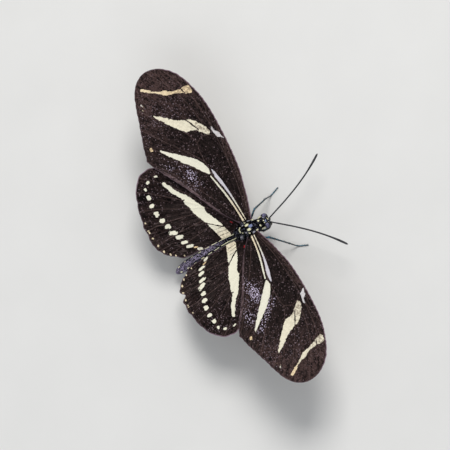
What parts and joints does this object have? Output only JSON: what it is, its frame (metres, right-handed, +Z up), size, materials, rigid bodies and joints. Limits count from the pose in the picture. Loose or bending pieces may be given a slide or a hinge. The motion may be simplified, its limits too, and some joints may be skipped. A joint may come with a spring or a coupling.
{
  "type": "zebra longwing butterfly model",
  "caption": "Life-size longwing butterfly standing with its long striped wings spread in a shallow V, abdomen and feelers stretched out.",
  "frame": {"origin": "on the floor, under the middle of the box round the whole butterfly", "axes": "+Z up from the floor, +X towards the tip of the butterfly's left wing, -Y the way its head points"},
  "size_m": [0.085, 0.0438, 0.0178],
  "materials": {
    "wing": "velvety black-brown scales with cream and pale yellow bands and spots",
    "body": "furry black scales with pale yellow spots and a blue-grey sheen",
    "abdomen": "slate grey scales in rings, with pale dots along each side",
    "eye": "glossy dark brown, finely faceted, with a grey-mauve bloom",
    "feeler": "fine black rings, a little brown at the tip",
    "palp": "black bristly hair, paler below",
    "tongue": "smooth dark brown tube wound in a coil",
    "leg": "black scales with a blue-slate sheen and fine spines"
  },
  "bodies": {
    "root": {"head": "body", "thorax": "body", "abdomen": "abdomen", "forewing_left": "wing", "forewing_right": "wing", "hindwing_left": "wing", "hindwing_right": "wing", "eye_left": "eye", "eye_right": "eye", "antenna_left": "feeler", "antenna_right": "feeler", "palp_left": "palp", "palp_right": "palp", "proboscis": "tongue", "foreleg_left": "leg", "foreleg_right": "leg", "midleg_left": "leg", "midleg_right": "leg", "hindleg_left": "leg", "hindleg_right": "leg"}
  },
  "joints": []
}
